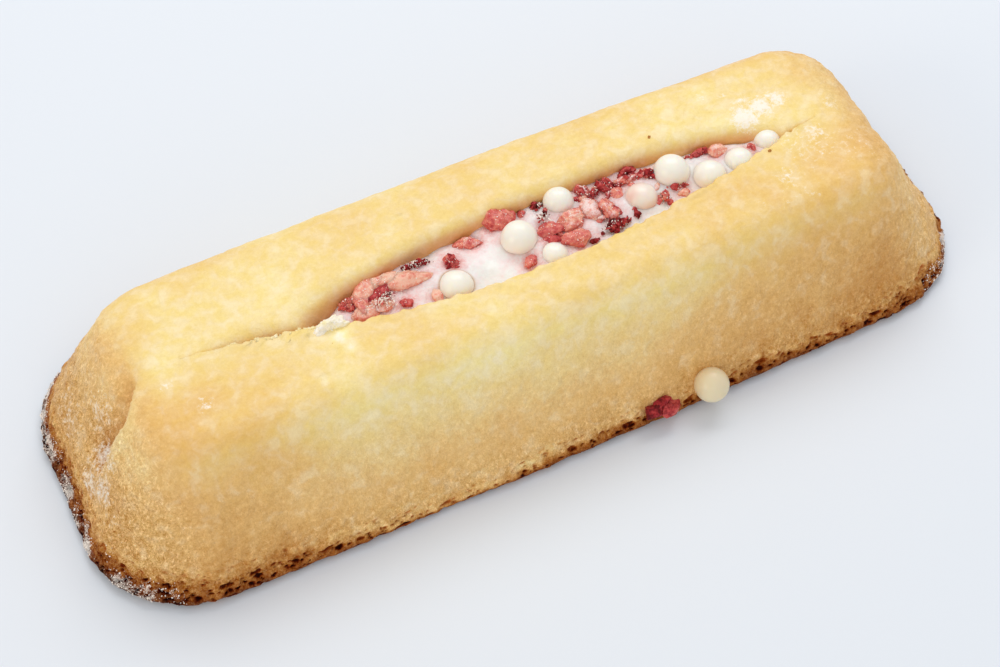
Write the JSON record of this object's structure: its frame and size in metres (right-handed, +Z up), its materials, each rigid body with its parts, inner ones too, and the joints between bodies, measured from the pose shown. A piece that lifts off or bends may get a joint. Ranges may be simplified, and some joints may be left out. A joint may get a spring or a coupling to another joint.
{
  "type": "strawberry shortcake",
  "caption": "Finger-shaped sponge cake with leaning sides, slit along its flat top and filled with whipped cream, white pearls and dried strawberry pieces.",
  "frame": {"origin": "middle of the flat base the cake rests on", "axes": "+X along the cake, +Y to the back, +Z up out of the slit side"},
  "size_m": [0.1502, 0.0574, 0.0258],
  "materials": {
    "sponge": "baked sponge, matt, browner at the rim",
    "cream": "whipped cream, soft sheen, with red strawberry flakes",
    "pearl": "white chocolate coating, satin"
  },
  "bodies": {
    "root": {"sponge": "sponge", "cream": "cream", "pearl_1": "pearl", "pearl_2": "pearl", "pearl_3": "pearl", "pearl_4": "pearl", "pearl_5": "pearl", "pearl_6": "pearl", "pearl_7": "pearl", "pearl_8": "pearl", "pearl_9": "pearl", "pearl_10": "pearl"}
  },
  "joints": []
}
